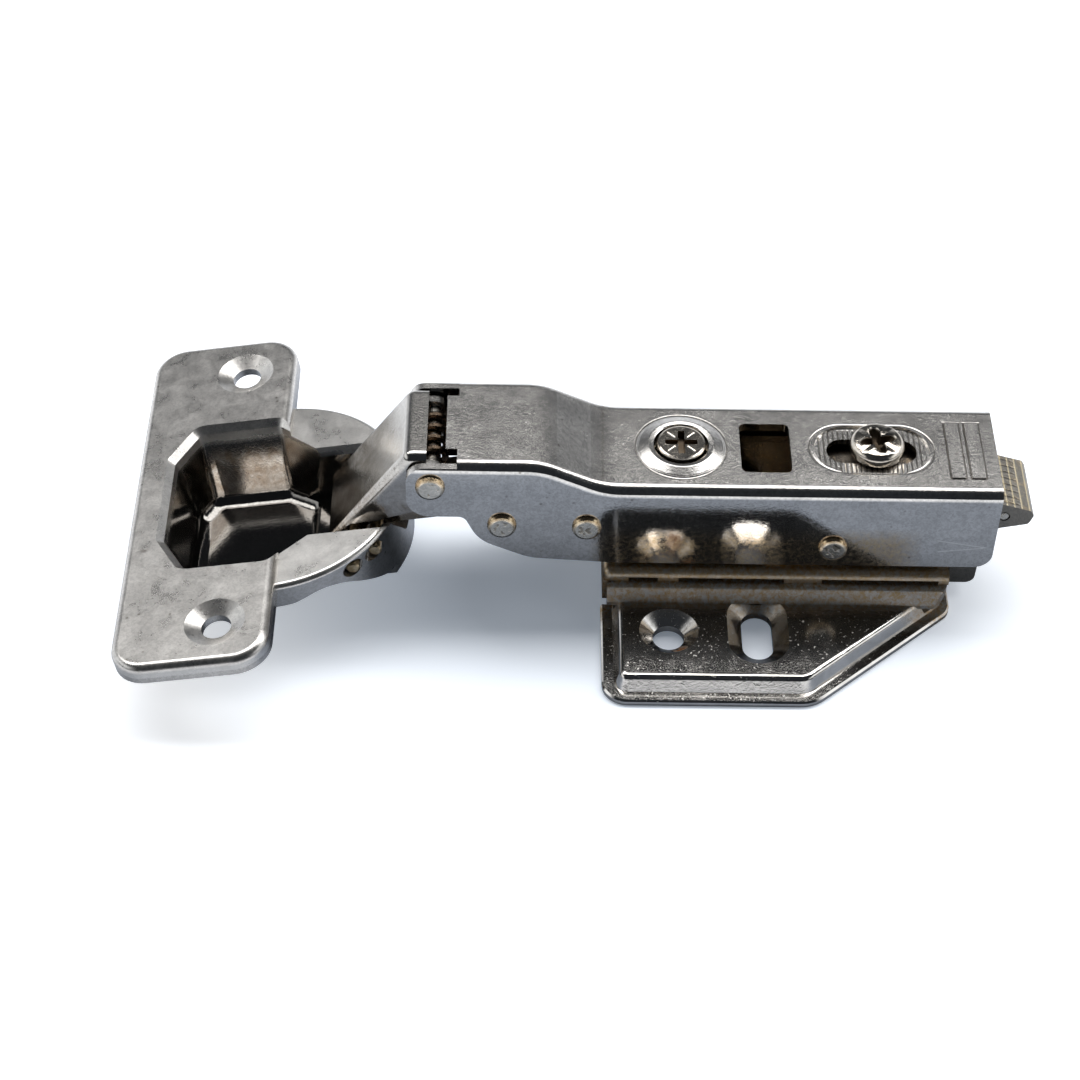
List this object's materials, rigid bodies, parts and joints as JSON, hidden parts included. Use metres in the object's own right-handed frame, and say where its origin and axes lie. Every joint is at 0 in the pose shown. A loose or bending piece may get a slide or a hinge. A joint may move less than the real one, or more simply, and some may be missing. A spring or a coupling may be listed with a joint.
{
  "type": "concealed cabinet hinge",
  "caption": "Concealed cabinet hinge with a drilled-in door cup, folding levers, adjustable arm and clip-on mounting plate, shown fully open.",
  "frame": {"origin": "on the mounting face of the plate, midway between its two round screw holes", "axes": "+X along the arm towards its rear, +Y across the hinge, +Z away from the cabinet side that the plate is screwed to"},
  "size_m": [0.122, 0.062, 0.0259],
  "materials": {
    "plated_steel": "satin nickel plate",
    "bright_pin": "plated",
    "spring_steel": "drawn wire",
    "die_cast_grey": "matte die cast",
    "damper_plastic": "matte"
  },
  "bodies": {
    "base": {"wing_plate": "plated_steel", "saddle": "plated_steel", "clip_rail": "plated_steel", "clip_pin": "bright_pin", "plate_rivets": "bright_pin"},
    "clip_carriage": {"carriage": "plated_steel", "depth_nut": "plated_steel", "release_pin": "bright_pin", "release_spring": "spring_steel"},
    "release": {"release_lever": "die_cast_grey"},
    "lock_screw": {"depth_screw": "plated_steel"},
    "depth_slide": {"rear_rivet": "bright_pin"},
    "adjust_screw": {"side_screw": "plated_steel"},
    "arm": {"hinge_arm": "plated_steel", "front_rivet": "bright_pin", "middle_rivet": "bright_pin", "damper_rivet": "bright_pin", "torsion_spring": "spring_steel", "damper_body": "damper_plastic", "damper_cap": "damper_plastic"},
    "damper_piston": {"damper_rod": "bright_pin"},
    "front_lever": {"outer_lever": "plated_steel"},
    "cup": {"hinge_cup": "plated_steel", "cup_pins": "bright_pin"},
    "rear_lever": {"inner_lever": "plated_steel"}
  },
  "joints": [
    {"name": "carriage_lift", "type": "hinge", "parent": "base", "child": "clip_carriage", "pos_m": [-0.0049, 0, 0.011], "axis": [0, -1, 0], "range_deg": [0, 6]},
    {"name": "release_turn", "type": "hinge", "parent": "clip_carriage", "child": "release", "pos_m": [0.045, 0, 0.01445], "axis": [0, -1, 0], "range_deg": [0, 24], "stiffness_Nm_per_rad": 0.02, "springref_deg": -17.19},
    {"name": "lock_turn", "type": "hinge", "parent": "clip_carriage", "child": "lock_screw", "pos_m": [0.02735, 0, 0.02], "axis": [0, 0, 1], "range_deg": [0, 180]},
    {"name": "depth_adjust", "type": "slide", "parent": "clip_carriage", "child": "depth_slide", "axis": [1, 0, 0], "range_m": [-0.002, 0.002]},
    {"name": "side_tilt", "type": "hinge", "parent": "depth_slide", "child": "arm", "pos_m": [0.02183, 0, 0.01174], "axis": [0, -1, 0], "range_deg": [-1, 1]},
    {"name": "side_turn", "type": "hinge", "parent": "depth_slide", "child": "adjust_screw", "pos_m": [0.00116, 0, 0.02], "axis": [0, 0, 1], "range_deg": [-201, 201]},
    {"name": "front_lever_turn", "type": "hinge", "parent": "arm", "child": "front_lever", "pos_m": [-0.03214, 0, 0.02219], "axis": [0, -1, 0], "range_deg": [0, 22.9]},
    {"name": "cup_fold", "type": "hinge", "parent": "front_lever", "child": "cup", "pos_m": [-0.04234, 0, 0.01187], "axis": [0, 1, 0], "range_deg": [0, 122.35]},
    {"name": "rear_lever_turn", "type": "hinge", "parent": "cup", "child": "rear_lever", "pos_m": [-0.03954, 0, 0.01235], "axis": [0, -1, 0], "range_deg": [0, 124.4]},
    {"name": "damper_stroke", "type": "slide", "parent": "arm", "child": "damper_piston", "axis": [1, 0, 0], "range_m": [0, 0.00175]}
  ],
  "couplings": [
    {"joint": "release_turn", "follows": "carriage_lift", "ratio": 4},
    {"joint": "side_turn", "follows": "side_tilt", "ratio": 200},
    {"joint": "front_lever_turn", "follows": "cup_fold", "ratio": 0.18677},
    {"joint": "rear_lever_turn", "follows": "cup_fold", "ratio": 1.0162},
    {"joint": "damper_stroke", "follows": "cup_fold", "m_per_rad": 0.000796}
  ]
}
